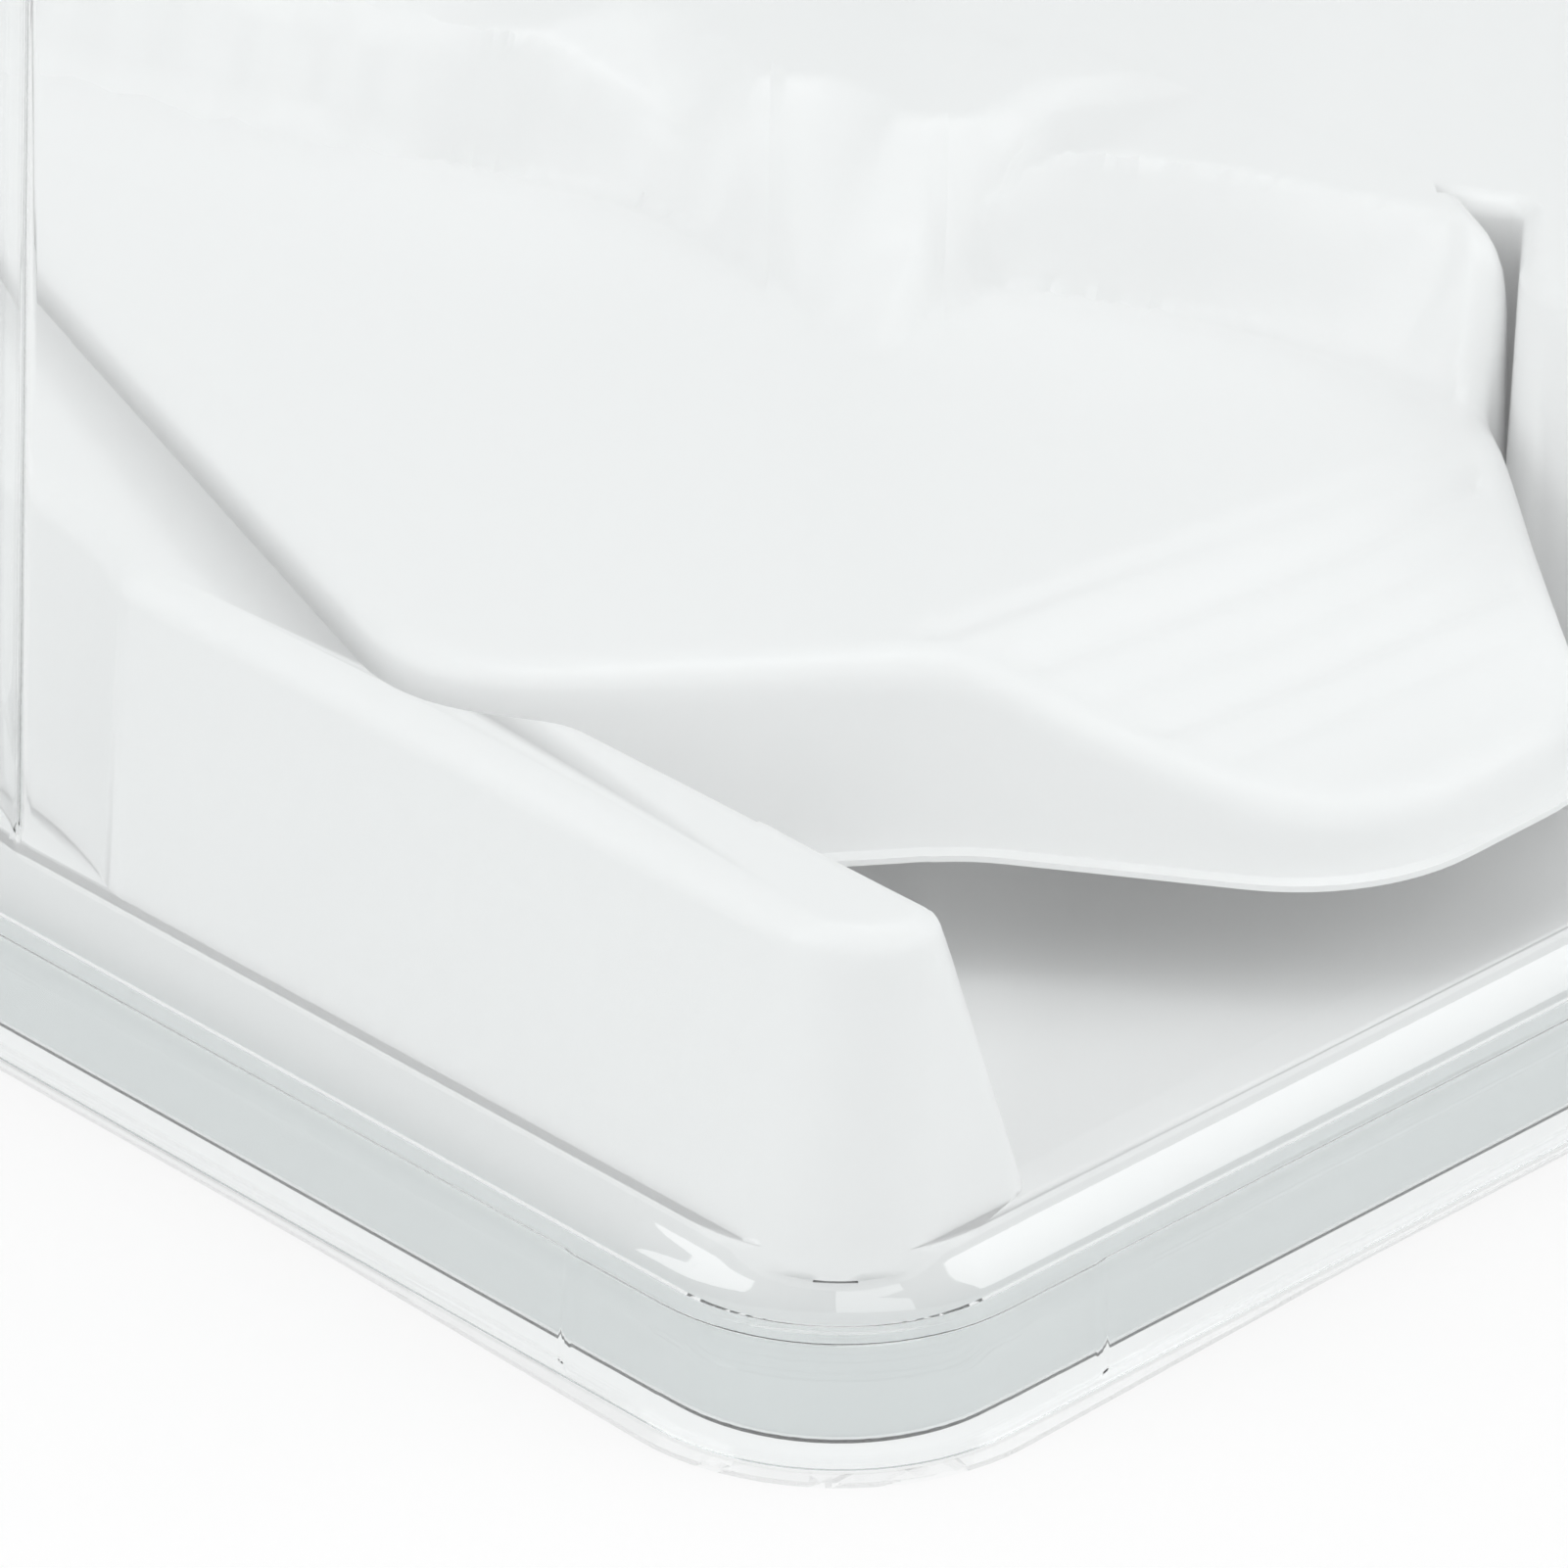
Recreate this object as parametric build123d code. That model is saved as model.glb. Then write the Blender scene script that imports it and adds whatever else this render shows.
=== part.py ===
from build123d import *
import math
import os

# A tall clear clamshell pack with its lid shut. A clear base carries a formed white tray, and the
# tray carries a formed white cradle. The clear lid swings on a living hinge along the back.
# All sizes are in millimetres. X runs along the pack, Y from front to back, Z up from the table.

# The pack's outside, measured at the foot of the lid's skirt
pack_length = 240.0
pack_depth = 190.0
pack_height = 152.0

# Sheet gauges after forming
clear_sheet = 0.5
white_sheet = 0.6

# Running clearances
lid_seat_gap = 0.2
skirt_gap = 0.35
tray_gap = 0.6
cradle_gap = 2.5
rest_gap = 0.1

# Lid: skirt, rounded ledge, drafted walls and top
skirt_height = 13.5
skirt_lean = 0.9
ledge_width = 3.4
ledge_height = 5.5
wall_draft = 2.0
skirt_corner = 21.0
ledge_corner = 18.0
wall_corner = 10.0
ledge_brow_round = 2.0
ledge_foot_round = 3.4
top_round = 6.0

# Lock panels pressed outwards in the skirt, one to a side, and the ridges they snap over
panel_start = 32.5
panel_low = 2.5
panel_high = 12.2
panel_lift = 0.4

# The upright flute in the middle of each long wall
flute_width = 30.0
flute_depth = 4.6
flute_sink = 0.4

# Base: hollow locking channel round a flat floor, with a rim flange and a tab at each corner
channel_height = 12.0
channel_width = 2.8
flange_reach = 0.5
corner_tab_reach = 2.4
corner_tab_length = 62.0
flange_corner = 22.0

# Tray: platform with a down-turned skirt
platform_height = 17.5
tray_draft = 0.5

# Guard along the front of the tray, with a sloped end that leaves the right side open
guard_top = 48.0
guard_inset = 1.1
guard_draft = 4.0
guard_corner = 9.0
guard_round = 2.8
guard_end_round = 3.6
guard_back = 19.8
guard_end_slope = 20.0
guard_recess_depth = 5.6
guard_recess_width = 48.0
scoop_start = 50.0

# Raised block along the back of the tray
block_top = 60.1
block_front = 118.0
block_corner = 9.0
block_round = 2.0
inner_draft = 1.0

# Hidden stand under the cradle's floor
stand_draft = 5.0

# Cradle: trimmed edge, floor, ramp with ribs, nose, rim
edge_height = 29.6
cradle_left_gap = 37.0
floor_height = 48.0
nose_height = 36.6
rim_height = 60.8
trim_flange = 1.2
waist_proud = 0.5
cradle_draft = 2.0
floor_round = 2.2
rib_pitch = 5.3
rib_count = 5
rib_drop_deep = 1.5
rib_drop_fine = 0.6
rib_run = 1.4
ramp_start = 39.5
ramp_skew = 3.5


def at(from_right, from_front):
    """Plan point given by its distances from the right end and from the front side."""
    return (pack_length / 2 - from_right, -pack_depth / 2 + from_front)


def unit(start, end):
    """Unit vector from one plan point to another."""
    length = math.dist(start, end)
    return ((end[0] - start[0]) / length, (end[1] - start[1]) / length)


class Outline:
    """A closed plan outline, anticlockwise: straight sides with rounded corners."""

    def __init__(self, corners, radii):
        self.corners = corners
        self.radii = radii

    def inset(self, distances):
        """The outline drawn in by one distance, or by one distance for each side in turn."""
        count = len(self.corners)
        if not isinstance(distances, list):
            distances = [distances] * count
        corners = []
        radii = []
        for i, here in enumerate(self.corners):
            one = unit(self.corners[i - 1], here)
            two = unit(here, self.corners[(i + 1) % count])
            before = distances[i - 1]
            after = distances[i]
            cross = one[0] * two[1] - one[1] * two[0]
            dot = one[0] * two[0] + one[1] * two[1]
            slide = (after - before * dot) / cross
            corners.append(
                (
                    here[0] - one[1] * before - one[0] * slide,
                    here[1] + one[0] * before - one[1] * slide,
                )
            )
            mean = (before + after) / 2
            grown = self.radii[i] - mean if cross > 0 else self.radii[i] + mean
            radii.append(max(grown, 0.2) if self.radii[i] > 0 else 0.0)
        return Outline(corners, radii)

    def face(self, z):
        """The outline as a face at a height."""
        points = [(x, y, z) for x, y in self.corners]
        return make_face(FilletPolyline(*points, radius=self.radii, close=True))

    def prism(self, low, high):
        """A straight prism of the outline between two heights."""
        return extrude(self.face(low), amount=high - low, dir=(0, 0, 1))


def rounded_plan(inset, radius):
    """The pack's rectangle drawn in from the foot of the skirt."""
    half_x = pack_length / 2 - inset
    half_y = pack_depth / 2 - inset
    return Outline([(-half_x, -half_y), (half_x, -half_y), (half_x, half_y), (-half_x, half_y)], [radius] * 4)


def frustum(low_outline, low, high_outline, high):
    """A body between two outlines with the same number of sides."""
    return loft([low_outline.face(low), high_outline.face(high)], ruled=True)


def edges_at(shape, height):
    """All edges that lie flat at one height."""
    found = []
    for edge in shape.edges():
        box = edge.bounding_box()
        if abs(box.min.Z - height) < 0.05 and abs(box.max.Z - height) < 0.05:
            found.append(edge)
    return found


def polyhedron(corners):
    """The closed body spanned by corners given as bottom ring then top ring, same count."""
    half = len(corners) // 2
    low = make_face(Polyline(*corners[:half], close=True))
    high = make_face(Polyline(*corners[half:], close=True))
    return loft([low, high], ruled=True)


# Insets and heights that follow from the sizes above
draft_slope = math.tan(math.radians(wall_draft))
ledge_z = skirt_height + ledge_height
cradle_left = pack_length - cradle_left_gap
wall_inset = skirt_lean + ledge_width
top_inset = wall_inset + (pack_height - ledge_z) * draft_slope
lid_low = clear_sheet + lid_seat_gap
plug_low = clear_sheet + skirt_gap
plug_high = plug_low + skirt_lean * channel_height / skirt_height
plug_corner = skirt_corner - plug_low
well_high = plug_high + channel_width
well_low = well_high + tray_draft
well_corner = plug_corner - channel_width
tray_foot = well_low + tray_gap
platform_corner = well_corner - tray_gap
platform_inset = tray_foot + tray_draft
guard_lean = (guard_top - platform_height) * math.tan(math.radians(guard_draft))
guard_end_lean = (guard_top - platform_height) * math.tan(math.radians(guard_end_slope))
guard_face = platform_inset + guard_inset + guard_lean
block_lean = (block_top - platform_height) * math.tan(math.radians(guard_draft))
inner_lean = (block_top - platform_height) * math.tan(math.radians(inner_draft))
stand_top = floor_height - white_sheet - rest_gap
stand_lean = (stand_top - platform_height) * math.tan(math.radians(stand_draft))
guard_stand_off = cradle_gap + (guard_top - edge_height) * math.tan(math.radians(guard_draft)) / 1.4
edge_lean = (floor_height - edge_height) * math.tan(math.radians(cradle_draft))


def lid_profile(depth):
    """Inset and height of the lid's surface at its four turns, drawn in by a sheet depth."""
    turns = [(0.0, lid_low), (skirt_lean, skirt_height), (wall_inset, ledge_z), (top_inset, pack_height)]
    if depth == 0:
        return turns
    lines = []
    for (x0, z0), (x1, z1) in zip(turns, turns[1:]):
        run = math.hypot(x1 - x0, z1 - z0)
        start = (x0 + (z1 - z0) / run * depth, z0 - (x1 - x0) / run * depth)
        lines.append((start, (x1 - x0, z1 - z0)))
    inner = [along(lines[0], lid_low)]
    for one, two in zip(lines, lines[1:]):
        inner.append(crossing(one, two))
    inner.append(along(lines[-1], pack_height - depth))
    return inner


def along(line, height):
    """The point of a line at a height."""
    (x, z), (dx, dz) = line
    return (x + (height - z) / dz * dx, height)


def crossing(one, two):
    """Where two lines cross."""
    (x0, z0), (dx0, dz0) = one
    (x1, z1), (dx1, dz1) = two
    share = ((x1 - x0) * dz1 - (z1 - z0) * dx1) / (dx0 * dz1 - dz0 * dx1)
    return (x0 + share * dx0, z0 + share * dz0)


def flute_cutter(side, depth):
    """The round-backed upright channel pressed into a long wall, following the wall's draft."""
    radius = ((flute_width / 2) ** 2 + flute_depth**2) / (2 * flute_depth)
    sections = []
    for z in (ledge_z - flute_sink - depth, pack_height + 1.0):
        wall_y = pack_depth / 2 - wall_inset - (z - ledge_z) * draft_slope
        centre_y = wall_y - flute_depth + radius
        sections.append(Pos(0, side * centre_y, z) * Circle(radius + depth))
    return loft(sections, ruled=True)


def skirt_panels(depth, play):
    """The long shallow panels on the skirt's four sides, as bodies that stand out of it."""
    panels = []
    lean = skirt_lean / (skirt_height - lid_low)
    for half_run, half_across, turn in (
        (pack_length / 2 - panel_start, pack_depth / 2, 0),
        (pack_depth / 2 - panel_start, pack_length / 2, 90),
    ):
        for side in (-1, 1):
            sections = []
            for z in (panel_low + depth + play, panel_high - depth - play):
                outer = half_across - (z - lid_low) * lean + panel_lift - depth - play
                inner = half_across - 4 * panel_lift - skirt_lean - play
                width = 2 * (half_run - depth - play)
                section = Pos(0, side * (outer + inner) / 2, z) * Rectangle(width, outer - inner)
                sections.append(Rot(0, 0, turn) * section)
            panels.append(loft(sections, ruled=True))
    return panels


def lid_form(depth):
    """The lid as a full body, or the space inside its sheet where depth is the gauge."""
    turns = lid_profile(depth)
    radii = [skirt_corner, ledge_corner, wall_corner, wall_corner]
    plans = [rounded_plan(inset, radius - depth) for (inset, z), radius in zip(turns, radii)]
    body = frustum(plans[0], turns[0][1], plans[1], turns[1][1])
    body += frustum(plans[1], turns[1][1], plans[2], turns[2][1])
    body += frustum(plans[2], turns[2][1], plans[3], turns[3][1])
    body = fillet(edges_at(body, turns[3][1]), top_round - depth)
    body = fillet(edges_at(body, turns[2][1]), ledge_foot_round + depth)
    body = fillet(edges_at(body, turns[1][1]), ledge_brow_round - depth)
    for side in (-1, 1):
        body -= flute_cutter(side, depth)
    for panel in skirt_panels(depth, 0.0):
        body += panel
    return body


def make_lid():
    """Clear lid: one formed sheet, open below."""
    return lid_form(0.0) - lid_form(clear_sheet)


def rim_flange():
    """The flat rim under the skirt, drawn out to a finger tab at each corner."""
    rim = rounded_plan(-flange_reach, flange_corner).prism(0, clear_sheet)
    half_x = pack_length / 2
    half_y = pack_depth / 2
    back = well_high + 2 * clear_sheet
    tab = Outline(
        [
            (half_x - corner_tab_length, -half_y - flange_reach / 2),
            (half_x + corner_tab_reach, -half_y - corner_tab_reach),
            (half_x + flange_reach / 2, -half_y + corner_tab_length),
            (half_x - back, -half_y + corner_tab_length),
            (half_x - corner_tab_length, -half_y + back),
        ],
        [0, flange_corner, 0, 0, 0],
    ).prism(0, clear_sheet)
    rim += tab
    rim += mirror(tab, Plane.YZ)
    rim += mirror(tab, Plane.XZ)
    rim += mirror(mirror(tab, Plane.YZ), Plane.XZ)
    return rim


def make_base():
    """Clear base: floor, hollow channel that fills the lid's skirt, and rim flange."""
    sheet = clear_sheet
    plug = frustum(rounded_plan(plug_low, plug_corner), 0, rounded_plan(plug_high, plug_corner), channel_height)
    for ridge in skirt_panels(clear_sheet, skirt_gap):
        plug += ridge
    hollow = frustum(
        rounded_plan(plug_low + sheet, plug_corner - sheet),
        -1,
        rounded_plan(plug_high + sheet, plug_corner - sheet),
        channel_height - sheet,
    )
    pan = frustum(
        rounded_plan(well_low - sheet, well_corner + sheet),
        0,
        rounded_plan(well_high - sheet, well_corner + sheet),
        channel_height,
    )
    well = frustum(
        rounded_plan(well_low, well_corner),
        sheet,
        rounded_plan(well_high, well_corner),
        channel_height + 1,
    )
    flange = rim_flange() - rounded_plan(plug_low + sheet, plug_corner - sheet).prism(-1, 1)
    return plug - hollow + pan - well + flange


# The cradle's trimmed edge, from its left tip round the nose to the waist and back
cradle_edge = Outline(
    [
        at(cradle_left, 63.5),
        at(65, 15.0),
        at(37, 52.0),
        at(8.2, 71.5),
        at(8.7, 101.0),
        at(39.5, 118.5),
        at(48, 128.5),
        at(150, 118),
        at(cradle_left + 3, 90),
    ],
    [5, 12, 14, 20, 14, 8, 3, 3, 3],
)
waist_low = cradle_edge.inset(trim_flange - waist_proud).corners[5:7]
waist = cradle_edge.inset(trim_flange + edge_lean - waist_proud).corners[5:7]


def rim_foot(waist_corners):
    """The line the rim's wall stands on behind the cradle's floor, and round the waist."""
    corners = [
        at(cradle_left + 5, 59.5),
        at(146, 79.3),
        at(122, 91.8),
        at(112, 96),
        at(92, 104),
        at(82.5, 104.5),
        at(62.8, 113.9),
        at(52, 115.5),
        at(35.4, 112.4),
        waist_corners[0],
        waist_corners[1],
        at(50, 160),
        at(cradle_left + 5, 160),
    ]
    return Outline(corners, [1, 40, 8, 3, 3, 3, 16, 3, 1, 4, 2, 1, 1])


rim_top = Outline(
    [
        at(cradle_left + 5, 60.5),
        at(146, 80.2),
        at(130, 88.4),
        at(128.5, 101),
        at(92, 116.5),
        at(82, 105.8),
        at(68, 114.9),
        at(53, 121.7),
        at(46.8, 121.9),
        at(46.9, 123.8),
        at(51.5, 134),
        at(51.5, 160),
        at(cradle_left + 5, 160),
    ],
    [1, 40, 3, 3, 3, 3, 12, 3, 0.8, 0.8, 2, 1, 1],
)


def prow_body(depth):
    """The prow that juts from the rim's wall onto the floor, with the two webs beside it."""
    foot = [at(118, 94), at(104, 89.8), at(94.5, 86.5), at(82, 83.5), at(82.2, 91), at(85.5, 101), at(92, 122), at(122, 118)]
    waist = [at(114, 98), at(104.7, 93.8), at(97.3, 93.2), at(90.5, 94.5), at(88, 97.5), at(87, 102), at(92, 122), at(122, 118)]
    crest = [at(123, 101), at(109.6, 97.5), at(102.3, 102.5), at(97, 102.2), at(92.5, 103.6), at(90, 109), at(92, 122), at(122, 118)]
    levels = [floor_height - 1.0 - depth, floor_height + 4.5 - depth, rim_height - depth]
    body = None
    for low, high, low_z, high_z in ((foot, waist, levels[0], levels[1]), (waist, crest, levels[1], levels[2])):
        count = len(low)
        piece = frustum(
            Outline(low, [0] * count).inset(depth),
            low_z,
            Outline(high, [0] * count).inset(depth),
            high_z,
        )
        body = piece if body is None else body + piece
    return body


def web(corner, inner, tip, tip_z, depth):
    """A web of sheet that falls from the rim to a point beside the prow."""
    low_z = floor_height - 1.0 - depth
    low = [(*corner, low_z), (*tip, low_z), (*inner, low_z)]
    high = [(*corner, rim_height - depth), (*tip, tip_z - depth), (*inner, rim_height - depth)]
    turn = (tip[0] - corner[0]) * (inner[1] - corner[1]) - (tip[1] - corner[1]) * (inner[0] - corner[0])
    if turn < 0:
        low.reverse()
        high.reverse()
    return polyhedron(low + high)


def ramp_cutter(depth):
    """Everything above the ramp and nose: a stepped profile swept along the ribs."""
    profile = [(ramp_start + 4.0, floor_height + 20), (ramp_start + 2.0, floor_height)]
    fall = floor_height - nose_height
    drops = [rib_drop_deep if i % 2 == 0 else rib_drop_fine for i in range(rib_count)]
    tread_fall = (fall - sum(drops)) / rib_count
    here = ramp_start
    height = floor_height
    for drop in drops:
        here -= rib_pitch - rib_run
        height -= tread_fall
        profile.append((here, height))
        here -= rib_run
        height -= drop
        profile.append((here, height))
    profile.append((-20.0, height))
    profile.append((-20.0, floor_height + 20))
    skew = math.tan(math.radians(ramp_skew))
    middle = 85.0
    ends = []
    for from_front in (30.0, 150.0):
        shift = -(from_front - middle) * skew
        points = []
        for from_right, z in profile:
            x, y = at(from_right + shift, from_front)
            points.append((x, y, z - depth))
        ends.append(make_face(Polyline(*points, close=True)))
    return loft(ends, ruled=True)


def cradle_form(depth):
    """The cradle's mould, or the space under its sheet where depth is the gauge."""
    lower = cradle_edge.inset(trim_flange + depth)
    upper = cradle_edge.inset(trim_flange + edge_lean + depth)
    body = frustum(lower, edge_height - 2, upper, floor_height - depth)
    body = fillet(edges_at(body, floor_height - depth), floor_round - depth)
    body -= ramp_cutter(depth)
    wall_low = rim_foot(waist_low).inset(depth)
    wall_foot = rim_foot(waist).inset(depth)
    body += frustum(wall_low, edge_height, wall_foot, floor_height - depth)
    body += frustum(wall_foot, floor_height - depth, rim_top.inset(depth), rim_height - depth)
    body += prow_body(depth)
    body += web(at(129, 90.3), at(129, 101), at(110.8, 90.9), floor_height + 5.3, depth)
    body += web(at(83, 105.8), at(91, 117), at(85.9, 102.4), floor_height + 5.0, depth)
    far = pack_depth + 10
    slab = Outline([at(pack_length, -10), at(-10, -10), at(-10, far), at(pack_length, far)], [0] * 4)
    return body + slab.prism(edge_height - 6, edge_height - depth)


def cradle_trim():
    """The line the cradle is cut out along, seen from above."""
    rim_cut = Outline(
        [
            at(cradle_left, 63.5),
            at(150, 60),
            at(60, 60),
            at(53.5, 120),
            at(53.5, 140),
            at(68.6, 134.8),
            at(81, 128.7),
            at(87, 127),
            at(87, 150),
            at(99, 150),
            at(99, 119),
            at(104, 119.2),
            at(115.5, 115.5),
            at(150, 97),
            at(cradle_left + 3, 80),
        ],
        [2, 0, 0, 0, 2, 3, 3, 0.8, 2, 2, 0.8, 1, 2, 8, 2],
    ).prism(edge_height - 3, rim_height + 3)
    front = Outline(
        cradle_edge.corners[:7] + [at(60, 125), at(110, 100), at(150, 85)],
        cradle_edge.radii[:7] + [2, 2, 2],
    ).prism(edge_height - 3, rim_height + 3)
    return rim_cut + front


def make_cradle():
    """White cradle: one formed sheet, trimmed out along its edge."""
    return (cradle_form(0.0) - cradle_form(white_sheet)) & cradle_trim()


def guard_form(depth):
    """The guard along the front, with a recess in its face where the lid's flute stands."""
    line = cradle_edge.inset(-guard_stand_off)
    deep_back = guard_back + guard_end_lean + 4
    near = (pack_length / 2 - line.corners[1][0], pack_depth / 2 + line.corners[1][1])
    reach = (deep_back - near[1]) / (guard_back - near[1])
    top = Outline(
        [
            at(guard_face, guard_face),
            at(guard_face, deep_back),
            at(near[0] - reach * (near[0] - scoop_start), deep_back),
            line.corners[1],
            line.corners[0],
            at(cradle_left + 6, 95),
            at(pack_length - guard_face, 95),
            at(pack_length - guard_face, guard_face),
        ],
        [guard_corner, 1, 10, line.radii[1], 5, 0, 0, guard_corner],
    )
    foot = top.inset(depth - guard_lean)
    body = frustum(foot, platform_height - 2 - depth, top.inset(depth), guard_top - depth)
    start = -pack_depth / 2 + guard_back - depth
    slope = [
        (line.corners[1][0], start + 1.5 * guard_end_lean, platform_height - 0.5 * (guard_top - platform_height)),
        (line.corners[1][0], start - 0.5 * guard_end_lean, guard_top + 0.5 * (guard_top - platform_height)),
        (line.corners[1][0], start + 3 * guard_end_lean, guard_top + 0.5 * (guard_top - platform_height)),
    ]
    body -= extrude(make_face(Polyline(*slope, close=True)), amount=80, dir=(1, 0, 0))
    body -= recess_cutter(-1, guard_top, guard_lean, depth)
    body = fillet(recess_edges(body), 2 * guard_round)
    body = fillet(end_edges(body), guard_end_round - depth)
    return fillet(outer_edges(body, guard_top - depth), guard_round - depth)


def recess_cutter(side, top, lean, depth):
    """The round-backed recess that clears the lid's flute, in the front or the back face."""
    radius = ((guard_recess_width / 2) ** 2 + guard_recess_depth**2) / (2 * guard_recess_depth)
    sections = []
    for z, face in ((platform_height - 3, guard_face - lean), (top + 1, guard_face)):
        centre_y = pack_depth / 2 - face - guard_recess_depth + radius
        sections.append(Pos(0, side * centre_y, z) * Circle(radius + depth))
    return loft(sections, ruled=True)


def outer_edges(body, height):
    """The guard's top edges along its front, its left face and its sloped end."""
    found = []
    for edge in edges_at(body, height):
        from_right = pack_length / 2 - edge.center().X
        from_front = pack_depth / 2 + edge.center().Y
        front = from_front < guard_face + 0.5 or abs(from_right - pack_length / 2) < guard_recess_width / 2 + 3
        if (front and from_front < guard_face + guard_recess_depth + 1) or from_right < scoop_start - 1:
            found.append(edge)
        elif from_right > pack_length - guard_face - 0.5 * guard_corner:
            found.append(edge)
    return found


def recess_edges(body):
    """The two upright edges where the guard's recess meets its face."""
    found = []
    for edge in body.edges():
        box = edge.bounding_box()
        beside = abs(abs(edge.center().X) - guard_recess_width / 2) < 3
        if beside and box.size.Z > 20 and box.max.Y < 0:
            found.append(edge)
    return found


def end_edges(body):
    """The edges on both sides of the guard's sloped end."""
    found = []
    for edge in body.edges():
        size = edge.bounding_box().size
        if size.Z > 20 and size.Y > 8 and edge.center().X > pack_length / 2 - 2 * guard_face:
            found.append(edge)
    return found


def block_form(depth):
    """The raised block along the back, cut back along the cradle's rim wall and waist."""
    line = cradle_edge.inset(-cradle_gap)
    top = Outline(
        [
            at(guard_face, block_front),
            at(guard_face, pack_depth - guard_face),
            at(pack_length - guard_face, pack_depth - guard_face),
            at(pack_length - guard_face, 76),
            at(cradle_left + 5, 68),
            at(147, 84.5),
            at(133, 92),
            at(131, 105),
            at(92, 121),
            at(80, 111.5),
            at(66, 119.5),
            at(53, 127.5),
            line.corners[6],
            line.corners[5],
        ],
        [3, block_corner, block_corner, 2, 2, 30, 3, 3, 3, 3, 8, 2, 1.5, 8],
    )
    sides = [block_lean] * 3 + [inner_lean] * 10 + [block_lean]
    foot = top.inset([depth - lean for lean in sides])
    body = frustum(foot, platform_height - 2 - depth, top.inset(depth), block_top - depth)
    body -= recess_cutter(1, block_top, block_lean, depth)
    return fillet(edges_at(body, block_top - depth), block_round - depth)


def stand_form(depth):
    """The hidden stand that carries the cradle's floor."""
    top = Outline([at(150, 62), at(72, 33), at(56, 52), at(57, 98), at(100, 82)], [8] * 5)
    foot = top.inset(depth - stand_lean)
    return frustum(foot, platform_height - 2 - depth, top.inset(depth), stand_top - depth)


def tray_form(depth):
    """The tray's mould, or the space under its sheet where depth is the gauge."""
    low = clear_sheet if depth == 0 else 0.0
    body = frustum(
        rounded_plan(tray_foot + depth, platform_corner),
        low,
        rounded_plan(platform_inset + depth, platform_corner),
        platform_height - depth,
    )
    body += guard_form(depth)
    body += block_form(depth)
    body += stand_form(depth)
    return body


def make_tray():
    """White tray: one formed sheet, open below."""
    return tray_form(0.0) - tray_form(white_sheet)


base = make_base()
lid = make_lid()
tray = make_tray()
cradle = make_cradle()
os.makedirs("parts", exist_ok=True)
export_step(base, "parts/clear_base.step")
export_step(lid, "parts/clear_lid.step")
export_step(tray, "parts/white_tray.step")
export_step(cradle, "parts/white_cradle.step")
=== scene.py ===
import logging
import math
from dataclasses import dataclass, field
from enum import Enum
from typing import Callable, Dict, List, Optional, Sequence, Tuple

import bmesh
import bpy
from mathutils import Matrix, Vector
from mathutils.bvhtree import BVHTree
from mathutils.kdtree import KDTree
from mathutils.geometry import delaunay_2d_cdt


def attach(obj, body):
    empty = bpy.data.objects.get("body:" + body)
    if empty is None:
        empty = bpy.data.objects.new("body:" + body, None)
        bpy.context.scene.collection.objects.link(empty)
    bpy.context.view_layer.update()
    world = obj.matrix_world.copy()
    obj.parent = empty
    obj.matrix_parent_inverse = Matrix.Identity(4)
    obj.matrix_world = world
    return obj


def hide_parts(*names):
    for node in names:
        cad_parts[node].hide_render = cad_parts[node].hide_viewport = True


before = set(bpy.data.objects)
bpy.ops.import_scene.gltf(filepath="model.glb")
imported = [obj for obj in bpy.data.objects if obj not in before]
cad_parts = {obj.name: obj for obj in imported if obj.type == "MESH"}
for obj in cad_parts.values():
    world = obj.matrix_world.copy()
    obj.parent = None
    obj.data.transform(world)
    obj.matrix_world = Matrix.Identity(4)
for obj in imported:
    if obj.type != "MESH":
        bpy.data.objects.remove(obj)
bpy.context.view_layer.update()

LOG = logging.getLogger("clamshell")
MM = 0.001
RIGHT_END = 120.0
FRONT = 95.0
Plan = Tuple[float, float]


class Gauge(Enum):
    """Sheet gauges of the pack, in millimetres."""

    CLEAR = 0.5
    WHITE = 0.6


def linear(hex_colour: str) -> Tuple[float, float, float, float]:
    """Turn an sRGB hex colour into linear light.

    Args:
        hex_colour: six hex digits after a hash.

    Returns:
        Linear red, green, blue and an alpha of 1.
    """
    channels = []
    for start in (1, 3, 5):
        value = int(hex_colour[start:start + 2], 16) / 255
        channels.append(value / 12.92 if value <= 0.04045 else ((value + 0.055) / 1.055) ** 2.4)
    return (channels[0], channels[1], channels[2], 1.0)


def add_node(tree: bpy.types.NodeTree, kind: str, sockets: Optional[Dict[str, object]] = None,
             links: Optional[Dict[str, bpy.types.NodeSocket]] = None, **settings: object) -> bpy.types.Node:
    """Add one shader node with its settings, values and incoming links.

    Args:
        tree: the node tree.
        kind: the node's type name.
        sockets: input values by socket name.
        links: outputs to link in, by input socket name.
        settings: attributes of the node itself.

    Returns:
        The new node.
    """
    node = tree.nodes.new(kind)
    for name, value in settings.items():
        setattr(node, name, value)
    for name, value in (sockets or {}).items():
        node.inputs[name].default_value = value
    for name, output in (links or {}).items():
        tree.links.new(output, node.inputs[name])
    return node


def new_tree(name: str) -> Tuple[bpy.types.Material, bpy.types.NodeTree, bpy.types.Node]:
    """Start an empty node material.

    Args:
        name: the material's name.

    Returns:
        The material, its tree and its output node.
    """
    material = bpy.data.materials.new(name)
    material.use_nodes = True
    tree = material.node_tree
    tree.nodes.clear()
    return material, tree, add_node(tree, "ShaderNodeOutputMaterial")


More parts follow.
